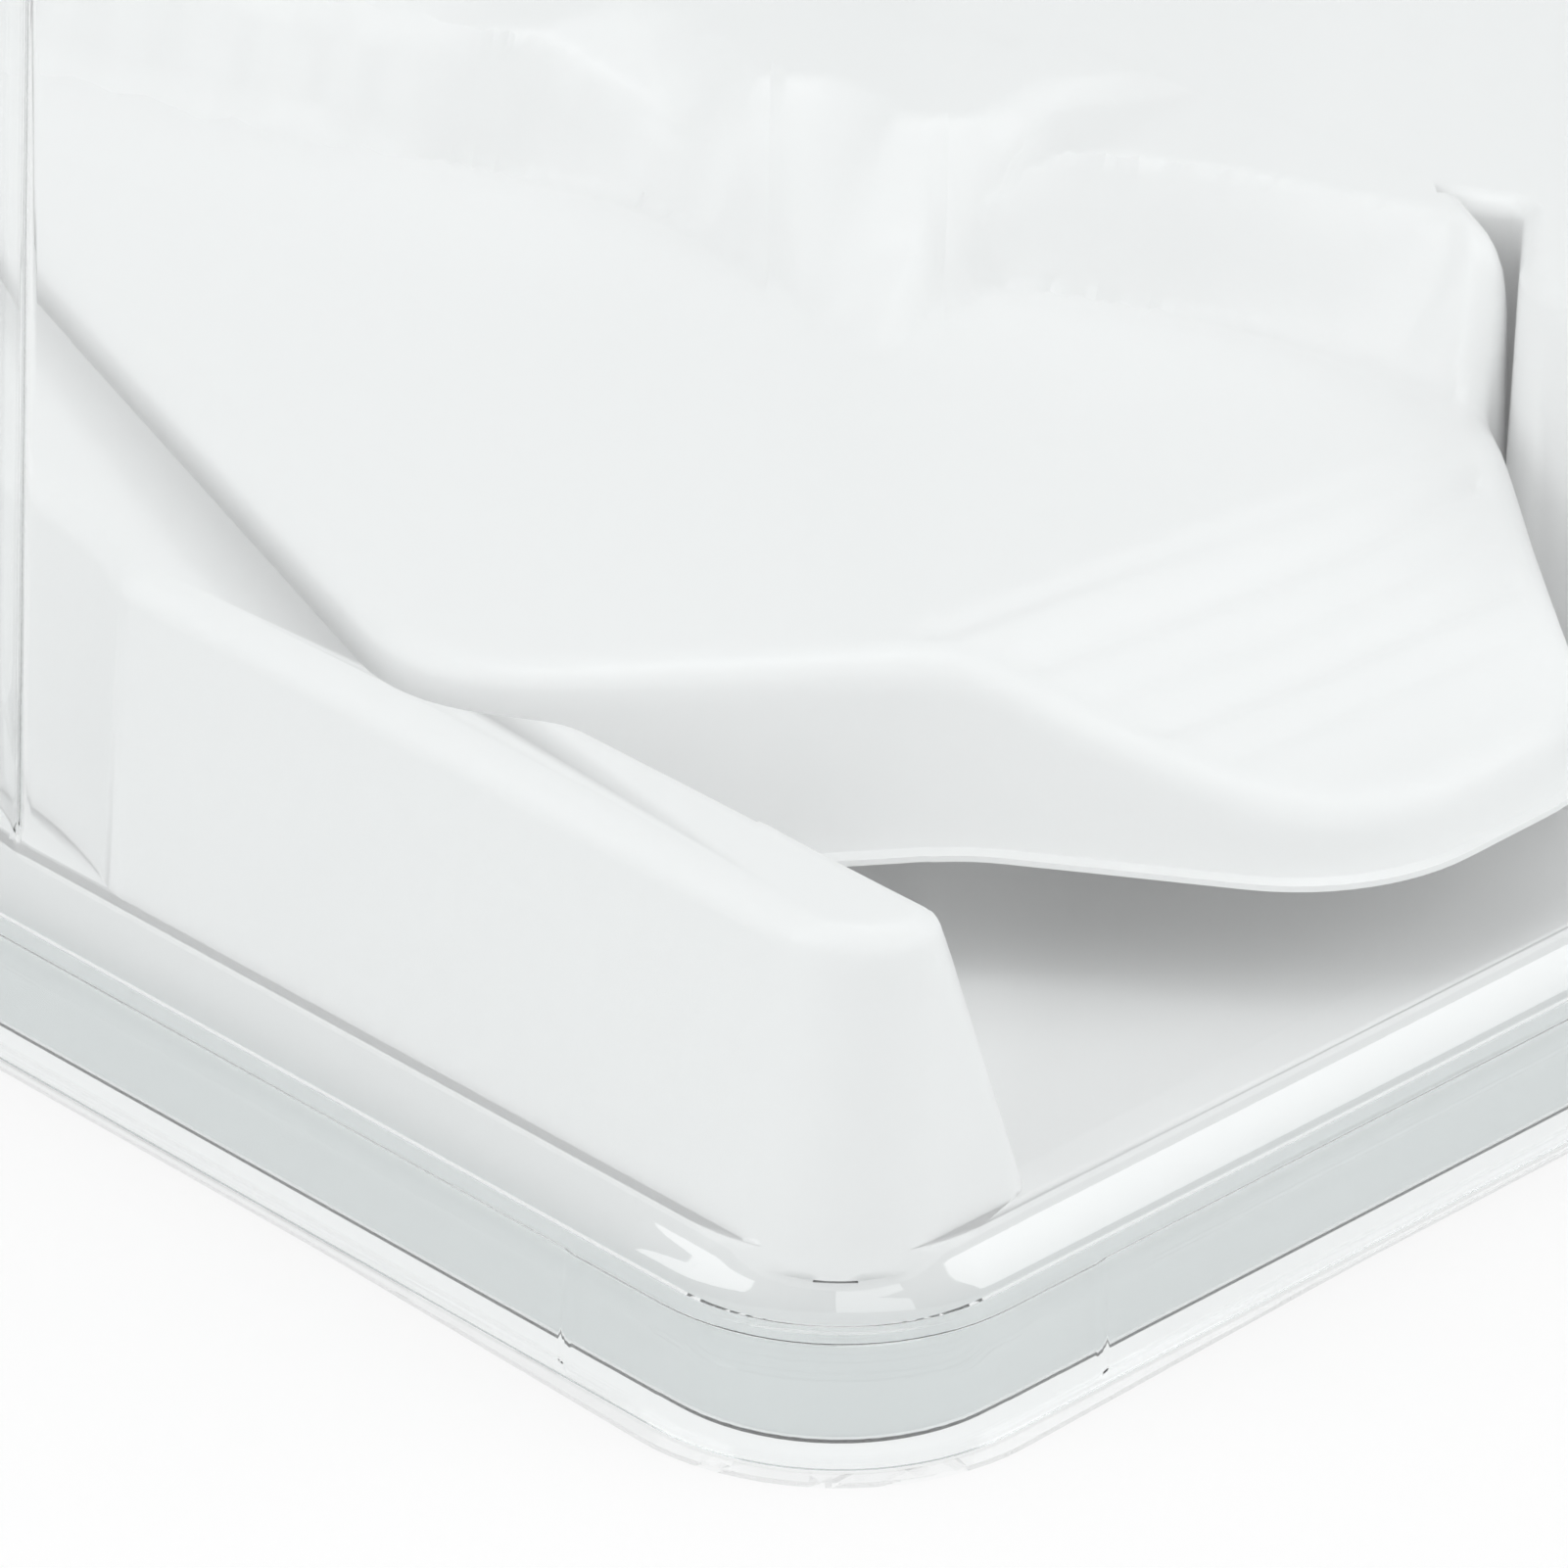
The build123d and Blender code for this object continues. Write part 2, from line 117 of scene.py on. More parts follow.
@dataclass(frozen=True)
class ClearThermoformedPet:
    """Clear PET sheet, vacuum formed: glassy, with a slow waviness left by the mould."""

    # Clear PET shows as glass with bright edges; the waviness bends what is seen through it a little.
    tint: str = "#FBFCFC"
    ior: float = 1.575
    roughness: float = 0.015
    wave_mm: float = 38.0
    wave_height_mm: float = 0.05

    def build(self) -> bpy.types.Material:
        """Make the clear sheet's material.

        Returns:
            The material.
        """
        material, tree, output = new_tree("clear_thermoformed_pet")
        place = add_node(tree, "ShaderNodeTexCoord")
        wave = add_node(tree, "ShaderNodeTexNoise", {"Scale": 1 / (self.wave_mm * MM), "Detail": 1.0},
                        {"Vector": place.outputs["Object"]})
        bump = add_node(tree, "ShaderNodeBump", {"Strength": 0.25, "Distance": self.wave_height_mm * MM},
                        {"Height": wave.outputs["Fac"]})
        sheet = add_node(tree, "ShaderNodeBsdfPrincipled", {
            "Base Color": linear(self.tint), "Roughness": self.roughness, "IOR": self.ior,
            "Transmission Weight": 1.0}, {"Normal": bump.outputs["Normal"]})
        clear = add_node(tree, "ShaderNodeBsdfTransparent", {"Color": linear(self.tint)})
        path = add_node(tree, "ShaderNodeLightPath")
        straight = add_node(tree, "ShaderNodeMath", operation="MAXIMUM")
        tree.links.new(path.outputs["Is Shadow Ray"], straight.inputs[0])
        tree.links.new(path.outputs["Is Diffuse Ray"], straight.inputs[1])
        mix = add_node(tree, "ShaderNodeMixShader", None, {"Fac": straight.outputs["Value"]})
        tree.links.new(sheet.outputs["BSDF"], mix.inputs[1])
        tree.links.new(clear.outputs["BSDF"], mix.inputs[2])
        tree.links.new(mix.outputs["Shader"], output.inputs["Surface"])
        return material


@dataclass(frozen=True)
class WhiteThermoformedPolystyrene:
    """White high-impact polystyrene sheet, vacuum formed: milky white with a soft sheen."""

    # The sheet is a bright neutral white; its fine orange peel breaks the sheen up without showing grain.
    colour: str = "#F4F4F4"
    ior: float = 1.59
    roughness: float = 0.34
    smoother: float = 0.04
    rougher: float = 0.05
    peel_mm: float = 1.1
    peel_height_mm: float = 0.012
    cloud_mm: float = 60.0

    def build(self) -> bpy.types.Material:
        """Make the white sheet's material.

        Returns:
            The material.
        """
        material, tree, output = new_tree("white_thermoformed_polystyrene")
        place = add_node(tree, "ShaderNodeTexCoord")
        peel = add_node(tree, "ShaderNodeTexNoise", {"Scale": 1 / (self.peel_mm * MM), "Detail": 2.0},
                        {"Vector": place.outputs["Object"]})
        cloud = add_node(tree, "ShaderNodeTexNoise", {"Scale": 1 / (self.cloud_mm * MM), "Detail": 1.0},
                         {"Vector": place.outputs["Object"]})
        rough = add_node(tree, "ShaderNodeMapRange", {
            "From Min": 0.3, "From Max": 0.7,
            "To Min": self.roughness - self.smoother, "To Max": self.roughness + self.rougher},
            {"Value": cloud.outputs["Fac"]})
        bump = add_node(tree, "ShaderNodeBump", {"Strength": 0.15, "Distance": self.peel_height_mm * MM},
                        {"Height": peel.outputs["Fac"]})
        sheet = add_node(tree, "ShaderNodeBsdfPrincipled", {
            "Base Color": linear(self.colour), "IOR": self.ior},
            {"Roughness": rough.outputs["Result"], "Normal": bump.outputs["Normal"]})
        tree.links.new(sheet.outputs["BSDF"], output.inputs["Surface"])
        return material


@dataclass(frozen=True)
class PaleStudioFloor:
    """Matt white studio floor that reads as plain white and keeps a trace of the shadow."""

    colour: str = "#F4F4F4"
    lift: float = 0.8

    def build(self) -> bpy.types.Material:
        """Make the floor's material.

        Returns:
            The material.
        """
        material, tree, output = new_tree("pale_studio_floor")
        matt = add_node(tree, "ShaderNodeBsdfDiffuse", {"Color": linear(self.colour)})
        white = add_node(tree, "ShaderNodeEmission", {"Strength": 1.0})
        path = add_node(tree, "ShaderNodeLightPath")
        direct = add_node(tree, "ShaderNodeMath", operation="MAXIMUM")
        tree.links.new(path.outputs["Is Camera Ray"], direct.inputs[0])
        tree.links.new(path.outputs["Is Transmission Ray"], direct.inputs[1])
        seen = add_node(tree, "ShaderNodeMath", None, {"Value": direct.outputs["Value"]},
                        operation="MULTIPLY")
        seen.inputs[1].default_value = self.lift
        mix = add_node(tree, "ShaderNodeMixShader", None, {"Fac": seen.outputs["Value"]})
        tree.links.new(matt.outputs["BSDF"], mix.inputs[1])
        tree.links.new(white.outputs["Emission"], mix.inputs[2])
        tree.links.new(mix.outputs["Shader"], output.inputs["Surface"])
        return material


def mesh_object(name: str, points: Sequence[Sequence[float]],
                faces: Sequence[Sequence[int]]) -> bpy.types.Object:
    """Make an object at the origin from points in millimetres.

    Args:
        name: the piece's name.
        points: corner positions in millimetres.
        faces: corner numbers of each face.

    Returns:
        The new object.
    """
    mesh = bpy.data.meshes.new(name)
    mesh.from_pydata([(p[0] * MM, p[1] * MM, p[2] * MM) for p in points], [], [tuple(f) for f in faces])
    mesh.validate()
    mesh.update()
    piece = bpy.data.objects.new(name, mesh)
    bpy.context.scene.collection.objects.link(piece)
    return piece


def select_only(piece: bpy.types.Object) -> None:
    """Make one object the only selected and the active one."""
    bpy.ops.object.select_all(action="DESELECT")
    piece.select_set(True)
    bpy.context.view_layer.objects.active = piece


def smooth(piece: bpy.types.Object, degrees: float) -> None:
    """Shade a piece smooth, with edges sharper than an angle left crisp."""
    select_only(piece)
    bpy.ops.object.shade_smooth_by_angle(angle=math.radians(degrees))


def thicken(piece: bpy.types.Object, gauge: float) -> None:
    """Give a formed surface its sheet gauge, inwards from its outer face.

    Args:
        piece: the surface, with its normals outwards.
        gauge: the sheet's thickness in millimetres.
    """
    wall = piece.modifiers.new("sheet gauge", "SOLIDIFY")
    wall.thickness = gauge * MM
    wall.offset = -1.0
    wall.use_even_offset = True
    wall.thickness_clamp = 0.0
    select_only(piece)
    bpy.ops.object.modifier_apply(modifier=wall.name)


@dataclass
class RoundedPlan:
    """The pack's plan: a rectangle with round corners, and stations along its sides."""

    length: float = 240.0
    depth: float = 190.0
    corner_steps: int = 18
    long_step: float = 6.0
    mark_room: float = 1.2

    def stations(self, half: float, marks: Sequence[float]) -> List[float]:
        """Positions along one side's straight, without its two ends.

        Args:
            half: the side's half length without its corners.
            marks: positions that must have a station, in millimetres from the middle.

        Returns:
            The positions in millimetres, in rising order.
        """
        count = max(2, int(2 * half / self.long_step))
        places = [-half + 2 * half * i / count for i in range(1, count)]
        places = [p for p in places if all(abs(p - m) > self.mark_room for m in marks)]
        return sorted(places + [m for m in marks if abs(m) < half])


@dataclass
class FormedShell:
    """Clear shell swept round the rounded plan: rings of points joined into one skin."""

    plan: RoundedPlan = field(default_factory=RoundedPlan)
    front_marks: Tuple[float, ...] = ()
    side_marks: Tuple[float, ...] = ()
    base_corner: float = 21.0
    CORNER_STARTS = {"front_right": -90.0, "back_right": 0.0, "back_left": 90.0, "front_left": 180.0}

    def places(self) -> List[Tuple[str, float]]:
        """Name every station round the plan once, so that all rings match.

        Returns:
            Pairs of the stretch's name and the position or angle in it.
        """
        half_x = self.plan.length / 2 - self.base_corner
        half_y = self.plan.depth / 2 - self.base_corner
        along_x = [-half_x] + self.plan.stations(half_x, self.front_marks) + [half_x]
        along_y = [-half_y] + self.plan.stations(half_y, self.side_marks) + [half_y]
        turn = [90.0 * i / self.plan.corner_steps for i in range(1, self.plan.corner_steps)]
        found: List[Tuple[str, float]] = []
        found += [("front", x) for x in along_x]
        found += [("front_right", a) for a in turn]
        found += [("right", y) for y in along_y]
        found += [("back_right", a) for a in turn]
        found += [("back", -x) for x in along_x]
        found += [("back_left", a) for a in turn]
        found += [("left", -y) for y in along_y]
        found += [("front_left", a) for a in turn]
        return found

    def ring(self, inset: float, corner: float, z: float,
             bulge: Optional[Callable[[str, float, float], float]] = None) -> List[Vector]:
        """One ring of points at a height.

        Args:
            inset: distance in from the pack's outline.
            corner: the ring's corner radius.
            z: height.
            bulge: outward shift for a stretch, a position along it and the height.

        Returns:
            The ring's points in millimetres.
        """
        hx = self.plan.length / 2 - inset
        hy = self.plan.depth / 2 - inset
        half_x = self.plan.length / 2 - self.base_corner
        half_y = self.plan.depth / 2 - self.base_corner
        points = []
        for name, at in self.places():
            out = bulge(name, at, z) if bulge else 0.0
            if name in ("front", "back"):
                reach = at
                if abs(at) >= half_x - 1e-6 or abs(at) > hx - corner:
                    reach = math.copysign(hx - corner, at)
                side = -1 if name == "front" else 1
                points.append(Vector((reach, side * (hy + out), z)))
            elif name in ("right", "left"):
                reach = at
                if abs(at) >= half_y - 1e-6:
                    reach = math.copysign(hy - corner, at)
                side = 1 if name == "right" else -1
                points.append(Vector((side * (hx + out), reach, z)))
            else:
                start = self.CORNER_STARTS[name]
                angle = math.radians(start + at)
                cx = math.copysign(hx - corner, math.cos(math.radians(start + 45)))
                cy = math.copysign(hy - corner, math.sin(math.radians(start + 45)))
                points.append(Vector((cx + (corner + out) * math.cos(angle),
                                      cy + (corner + out) * math.sin(angle), z)))
        return points

    def skin(self, name: str, rings: Sequence[Sequence[Vector]], capped: bool) -> bpy.types.Object:
        """Join rings into one open skin, with the last ring closed by a flat face if asked.

        Args:
            name: the piece's name.
            rings: rings of points with equal counts.
            capped: whether the last ring is closed.

        Returns:
            The skin as an object.
        """
        count = len(rings[0])
        points = [p for ring in rings for p in ring]
        faces: List[List[int]] = []
        for r in range(len(rings) - 1):
            for i in range(count):
                j = (i + 1) % count
                faces.append([r * count + i, r * count + j, (r + 1) * count + j, (r + 1) * count + i])
        if capped:
            faces.append([(len(rings) - 1) * count + i for i in range(count)])
        return mesh_object(name, points, faces)


@dataclass
class ClearLid(FormedShell):
    """The tall clear cover: skirt with lock panels, rounded ledge, drafted walls with a flute, top."""

    height: float = 152.0
    seat: float = 0.7
    skirt_top: float = 13.5
    skirt_lean: float = 0.9
    wall_inset: float = 4.3
    ledge_z: float = 19.0
    wall_draft: float = 2.0
    wall_corner: float = 10.0
    top_round: float = 6.0
    panel_half_front: float = 87.5
    panel_half_side: float = 62.5
    panel_low: float = 2.5
    panel_high: float = 12.2
    panel_lift: float = 0.25
    panel_fade: float = 1.2
    flute_half: float = 15.0
    flute_depth: float = 4.6
    flute_lip: float = 1.4
    flute_lip_share: float = 0.35
    wall_start: float = 24.5

    def __post_init__(self) -> None:
        """Put stations on the panels' ends and closely across the flute."""
        edge = [self.panel_half_front + self.panel_fade * i / 4 for i in range(5)]
        flute = [self.flute_half * math.sin(math.pi / 2 * i / 12) for i in range(12)]
        flute += [self.flute_half + d for d in (-0.45, -0.15, 0.15, 0.5, 0.9, self.flute_lip)]
        one_side = [round(v, 4) for v in edge + flute]
        self.front_marks = tuple(sorted(set(one_side + [-v for v in one_side if v > 0])))
        self.side_marks = tuple(sorted([
            s * (self.panel_half_side + self.panel_fade * i / 4) for s in (-1, 1) for i in range(5)]))

    def panel_bulge(self, stretch: str, at: float, z: float) -> float:
        """How far the lock panel stands out at a point of the skirt."""
        half = {"front": self.panel_half_front, "back": self.panel_half_front,
                "left": self.panel_half_side, "right": self.panel_half_side}.get(stretch)
        if half is None:
            return 0.0
        along = min(1.0, max(0.0, (half + self.panel_fade - abs(at)) / self.panel_fade))
        inward = min(z - self.panel_low + self.panel_fade, self.panel_high + self.panel_fade - z)
        up = min(1.0, max(0.0, inward / self.panel_fade))
        share = min(along, up)
        return self.panel_lift * share * share * (3 - 2 * share)

    def flute_bulge(self, stretch: str, at: float, z: float) -> float:
        """How far the flute is pressed in at a point of a long wall."""
        if stretch not in ("front", "back") or abs(at) > self.flute_half + self.flute_lip:
            return 0.0
        radius = (self.flute_half ** 2 + self.flute_depth ** 2) / (2 * self.flute_depth)
        depth = math.sqrt(radius ** 2 - min(abs(at), self.flute_half) ** 2) - (radius - self.flute_depth)
        slope = self.flute_half / math.sqrt(radius ** 2 - self.flute_half ** 2)
        edge = max(0.0, self.flute_lip - abs(abs(at) - self.flute_half)) / self.flute_lip
        depth += self.flute_lip_share * slope * edge * edge
        rise = min(1.0, max(0.0, (z - self.ledge_z + 0.4) / 0.8))
        return -depth * rise

    def build(self) -> bpy.types.Object:
        """Model the lid.

        Returns:
            The lid as an object.
        """
        slope = math.tan(math.radians(self.wall_draft))
        lean = self.skirt_lean / (self.skirt_top - self.seat)
        rings = []
        for z in (self.seat, 1.0, 1.5, 1.75, 2.0, 2.25, 2.5, 7.0, 12.2, 12.45, 12.7, 12.95, 13.2,
                  self.skirt_top - 0.1):
            inset = (z - self.seat) * lean
            rings.append(self.ring(inset, self.base_corner - inset, z, self.panel_bulge))
        ledge = [(0.92, 13.6, 19.9), (1.02, 14.1, 19.6), (1.3, 14.9, 19.0), (1.75, 15.7, 18.0),
                 (2.3, 16.35, 16.8), (2.85, 16.9, 15.5), (3.3, 17.45, 14.2), (3.65, 18.1, 13.0),
                 (3.95, 18.9, 12.0), (4.2, 19.9, 11.2), (4.36, 21.2, 10.5), (4.45, 22.8, 10.1)]
        for inset, z, corner in ledge:
            rings.append(self.ring(inset, corner, z, self.flute_bulge if z > self.ledge_z - 0.5 else None))
        for share in (0.0, 0.25, 0.5, 0.75, 1.0):
            z = self.wall_start + share * (self.height - self.top_round - self.wall_start)
            inset = self.wall_inset + (z - self.ledge_z) * slope
            rings.append(self.ring(inset, self.wall_corner, z, self.flute_bulge))
        last = self.wall_inset + (self.height - self.top_round - self.ledge_z) * slope
        for step in range(1, 9):
            angle = math.pi / 2 * step / 8
            inset = last + self.top_round * (1 - math.cos(angle))
            z = self.height - self.top_round + self.top_round * math.sin(angle)
            corner = max(self.wall_corner - self.top_round * (1 - math.cos(angle)), 2.0)
            rings.append(self.ring(inset, corner, z, self.flute_bulge))
        lid = self.skin("clear_lid_shell", rings, True)
        thicken(lid, Gauge.CLEAR.value)
        smooth(lid, 32)
        return lid


@dataclass
class ClearBase(FormedShell):
    """The clear base: rim flange with corner tabs, hollow locking channel, flat floor."""

    flange_reach: float = 0.5
    tab_reach: float = 2.4
    tab_length: float = 62.0
    channel_top: float = 12.0
    plug_low: float = 0.85
    plug_high: float = 1.65
    well_high: float = 4.45
    well_low: float = 4.95
    turn: float = 0.6

    def flange_bulge(self, stretch: str, at: float, z: float) -> float:
        """How far the rim flange reaches out, growing towards each corner."""
        half = self.plan.length / 2 if stretch in ("front", "back") else self.plan.depth / 2
        if stretch in ("front", "back", "left", "right"):
            from_corner = half - abs(at)
            grow = max(0.0, 1 - from_corner / self.tab_length)
            return self.flange_reach + (self.tab_reach - self.flange_reach) * grow - 0.4 * grow
        return self.flange_reach + (self.tab_reach - self.flange_reach) * 0.55

    def build(self) -> bpy.types.Object:
        """Model the base.

        Returns:
            The base as an object.
        """
        low = Gauge.CLEAR.value
        top = self.channel_top
        profile = [(0.2, 20.8, low),
                   (self.plug_low + 0.02, 20.15, low),
                   (self.plug_low + 0.06, 20.1, low + 0.35),
                   (self.plug_high - 0.04, 20.1, top - self.turn),
                   (self.plug_high + 0.14, 19.9, top - 0.18),
                   (self.plug_high + self.turn, 19.4, top),
                   (self.well_high - self.turn, 18.0, top),
                   (self.well_high - 0.14, 17.6, top - 0.18),
                   (self.well_high + 0.04, 17.4, top - self.turn),
                   (self.well_low - 0.03, 17.35, low + 0.6),
                   (self.well_low + 0.15, 17.2, low + 0.15),
                   (self.well_low + 0.6, 16.8, low)]
        rings = [self.ring(0.0, self.base_corner, low, self.flange_bulge)]
        rings += [self.ring(inset, corner, z) for inset, corner, z in profile]
        base = self.skin("clear_base_shell", rings, True)
        thicken(base, Gauge.CLEAR.value)
        smooth(base, 35)
        return base


@dataclass(frozen=True)
class PressedGroove:
    """A soft groove pressed into the ramp along a bent line.

    The line's points are distances from the pack's right end and from its front.
    """

    line: Tuple[Plan, ...]
    depth: float
    width: float

    def sink(self, x: float, y: float) -> float:
        """How deep the groove is at a plan point.

        Args:
            x: position along the pack in millimetres.
            y: position across the pack in millimetres.

        Returns:
            The depth in millimetres.
        """
        a, b = RIGHT_END - x, FRONT + y
        nearest = 1e9
        for (a0, b0), (a1, b1) in zip(self.line, self.line[1:]):
            run = (a1 - a0) ** 2 + (b1 - b0) ** 2
            share = min(1.0, max(0.0, ((a - a0) * (a1 - a0) + (b - b0) * (b1 - b0)) / run))
            nearest = min(nearest, math.hypot(a - a0 - share * (a1 - a0), b - b0 - share * (b1 - b0)))
        return self.depth * math.exp(-(nearest / self.width) ** 2)


@dataclass
class FormedSheet:
    """A white sheet: its CAD node, its name and how sharp a fold stays crisp in its shading."""

    node: str
    name: str
    crisp_degrees: float = 40.0

    def shade(self, piece: bpy.types.Object) -> None:
        """Shade the folds softly and keep the flats even, by the size of their faces."""
        smooth(piece, self.crisp_degrees)
        even = piece.modifiers.new("even flats", "WEIGHTED_NORMAL")
        even.keep_sharp = True
        select_only(piece)
        bpy.ops.object.modifier_apply(modifier=even.name)


def rounded_path(corners: Sequence[Tuple[float, float, float]], step: float) -> List[Vector]:
    """Walk an open path with rounded corners at an even step.

    Args:
        corners: plan positions with the rounding radius of each.
        step: distance between the points.

    Returns:
        Plan points along the path.
    """
    raw = [Vector(corners[0][:2])]
    for before, here, after in zip(corners, corners[1:], corners[2:]):
        point = Vector(here[:2])
        back = (Vector(before[:2]) - point).normalized()
        ahead = (Vector(after[:2]) - point).normalized()
        half = math.acos(max(-1.0, min(1.0, back.dot(ahead)))) / 2
        reach = here[2] / math.tan(half)
        centre = point + (back + ahead).normalized() * (here[2] / math.sin(half))
        start = point + back * reach - centre
        sweep = math.pi - 2 * half
        side = math.copysign(1.0, start.x * (ahead.y - back.y) - start.y * (ahead.x - back.x))
        for i in range(13):
            turn = side * sweep * i / 12
            raw.append(centre + Vector((start.x * math.cos(turn) - start.y * math.sin(turn),
                                        start.x * math.sin(turn) + start.y * math.cos(turn))))
    raw.append(Vector(corners[-1][:2]))
    lengths = [0.0]
    for p, q in zip(raw, raw[1:]):
        lengths.append(lengths[-1] + (q - p).length)
    count = max(2, int(round(lengths[-1] / step)))
    found, leg = [], 0
    for i in range(count + 1):
        at = lengths[-1] * i / count
        while leg < len(raw) - 2 and lengths[leg + 1] < at:
            leg += 1
        span = lengths[leg + 1] - lengths[leg]
        found.append(raw[leg].lerp(raw[leg + 1], (at - lengths[leg]) / span if span > 0 else 0.0))
    return found


def inside(point: Vector, outline: Sequence[Vector]) -> bool:
    """Tell whether a plan point lies inside a closed outline."""
    hit = False
    for p, q in zip(outline, list(outline[1:]) + [outline[0]]):
        if (p.y > point.y) != (q.y > point.y):
            if point.x < p.x + (point.y - p.y) / (q.y - p.y) * (q.x - p.x):
                hit = not hit
    return hit


class WhiteCradle(FormedSheet):
    """The cradle: pocket floor, ribbed ramp to the nose, rim, webs and prow in one soft sheet.

    Its plan points are distances from the pack's right end and from its front.
    """

    floor_z = 48.0
    rim_z = 60.8
    flange_z = 29.6
    flange_reach = 1.2
    wall_draft = 2.0
    crest_round = 2.8
    front_edge = ((204.0, 63.4, 0.0), (65.0, 15.0, 16.0), (37.0, 52.0, 20.0), (8.2, 71.5, 20.0),
                  (8.7, 101.0, 14.0), (39.2, 118.2, 4.0), (41.3, 123.6, 4.0), (51.5, 128.4, 0.0))
    ramp = ((10.0, 36.5), (14.7, 36.7), (17.4, 37.3), (21.6, 38.7), (25.9, 40.6), (30.9, 42.9), (35.9, 45.9),
            (39.4, 47.7), (42.0, 48.0))
    pocket_foot = ((188.0, 65.7), (160.0, 74.7), (146.0, 79.3), (136.0, 83.9), (128.0, 87.4), (122.0, 89.9),
                   (117.0, 91.0), (111.5, 91.0), (107.7, 90.3), (98.3, 87.9), (94.5, 86.3), (88.0, 83.9),
                   (83.2, 84.2), (81.1, 86.2), (81.7, 90.5), (83.6, 95.9), (84.5, 100.6), (84.0, 102.9),
                   (82.0, 104.5), (78.0, 106.6), (72.0, 109.9), (67.0, 112.3), (62.8, 113.8), (57.0, 115.0),
                   (52.0, 115.7), (47.0, 116.0), (43.5, 116.2))
    left_rim = ((188.0, 66.9), (160.0, 75.9), (146.0, 80.5), (136.0, 85.2), (130.2, 88.5))
    left_web = ((130.2, 88.5, 60.8), (129.0, 90.0, 59.9), (123.9, 91.5, 58.1), (118.4, 92.6, 54.9),
                (110.6, 91.9, 53.3), (115.7, 95.3, 55.0), (120.2, 96.6, 57.5), (129.2, 100.4, 60.8))
    prow_top = ((129.2, 100.4), (123.3, 101.4), (114.4, 98.8), (109.6, 97.5), (106.6, 101.6), (102.3, 103.1),
                (98.0, 103.1), (95.4, 102.2), (92.5, 104.0), (89.9, 107.2), (90.6, 111.3), (92.3, 117.3))
    facet = ((94.5, 86.3, 48.0), (104.0, 92.0, 52.6), (109.6, 95.2, 56.0), (104.7, 93.8, 54.5),
             (101.5, 93.3, 53.5), (97.1, 93.2, 52.5), (93.7, 92.9, 52.0), (90.1, 94.7, 52.0),
             (88.3, 97.2, 52.5), (87.1, 100.2, 54.0), (84.2, 92.5, 50.2), (81.1, 86.2, 48.0))
    right_web = ((91.0, 117.3, 60.8), (88.3, 109.4, 57.0), (85.9, 102.6, 53.0), (84.3, 106.2, 59.0),
                 (82.0, 107.0, 59.9), (80.2, 108.0, 60.8))
    right_rim = ((80.2, 108.0), (76.0, 110.2), (70.0, 113.8), (66.0, 115.9), (60.0, 118.2), (56.0, 119.8),
                 (52.5, 121.6), (50.6, 123.4))
    rear_cut = ((54.5, 127.3), (68.6, 126.4), (81.0, 125.1), (87.0, 124.5), (99.0, 123.3), (99.0, 119.0),
                (104.0, 119.2), (115.5, 115.5), (150.0, 97.0), (204.0, 81.0), (204.0, 70.0))

    strong_grooves = (PressedGroove(((36.0, 55.5), (32.5, 90.7), (32.2, 112.3)), 1.25, 0.95),
                      PressedGroove(((26.3, 63.5), (24.6, 82.6), (23.3, 107.4)), 1.25, 0.95))
    faint_grooves = (PressedGroove(((41.8, 53.1), (36.8, 95.1), (34.9, 114.2)), 0.65, 1.0),
                     PressedGroove(((31.2, 58.6), (28.6, 86.0), (27.8, 108.0)), 0.65, 0.9),
                     PressedGroove(((21.2, 66.0), (20.4, 84.0), (19.3, 102.0)), 0.65, 0.9))
    passes = 2
    grid = 0.8
    fold_step = 1.1

    def __init__(self) -> None:
        """Name the cradle's node and piece."""
        super().__init__("white_cradle", "white_cradle_sheet")

    def sink(self, a: float, b: float) -> float:
        """How deep the ramp is grooved at a plan point."""
        if a > 46.0 or b < 50.0:
            return 0.0
        return max(g.sink(RIGHT_END - a, b - FRONT) for g in self.strong_grooves + self.faint_grooves)

    def floor_height(self, a: float, b: float) -> float:
        """Height of the floor or ramp at a plan point.

        Args:
            a: distance from the right end.
            b: distance from the front.

        Returns:
            The height in millimetres.
        """
        along = a + 0.075 * (b - 60.0)
        if along <= self.ramp[0][0]:
            return self.ramp[0][1]
        for (a0, z0), (a1, z1) in zip(self.ramp, self.ramp[1:]):
            if along <= a1:
                return z0 + (z1 - z0) * (along - a0) / (a1 - a0)
        return self.floor_z

    def crest_height(self, a: float, b: float) -> float:
        """Height of the outer wall's crest, which rises to the rim at the left tip and at the waist."""
        rise = 0.0
        if a > 189.0:
            rise = min(1.0, (a - 189.0) / 9.0)
        elif b > 114.0 and a > 38.5:
            rise = min(1.0, math.hypot(a - 39.5, b - 115.5) / 10.0) if b > 115.5 else 0.0
        low = self.floor_height(a, b)
        return low + (self.rim_z - low) * rise * rise * (3 - 2 * rise)

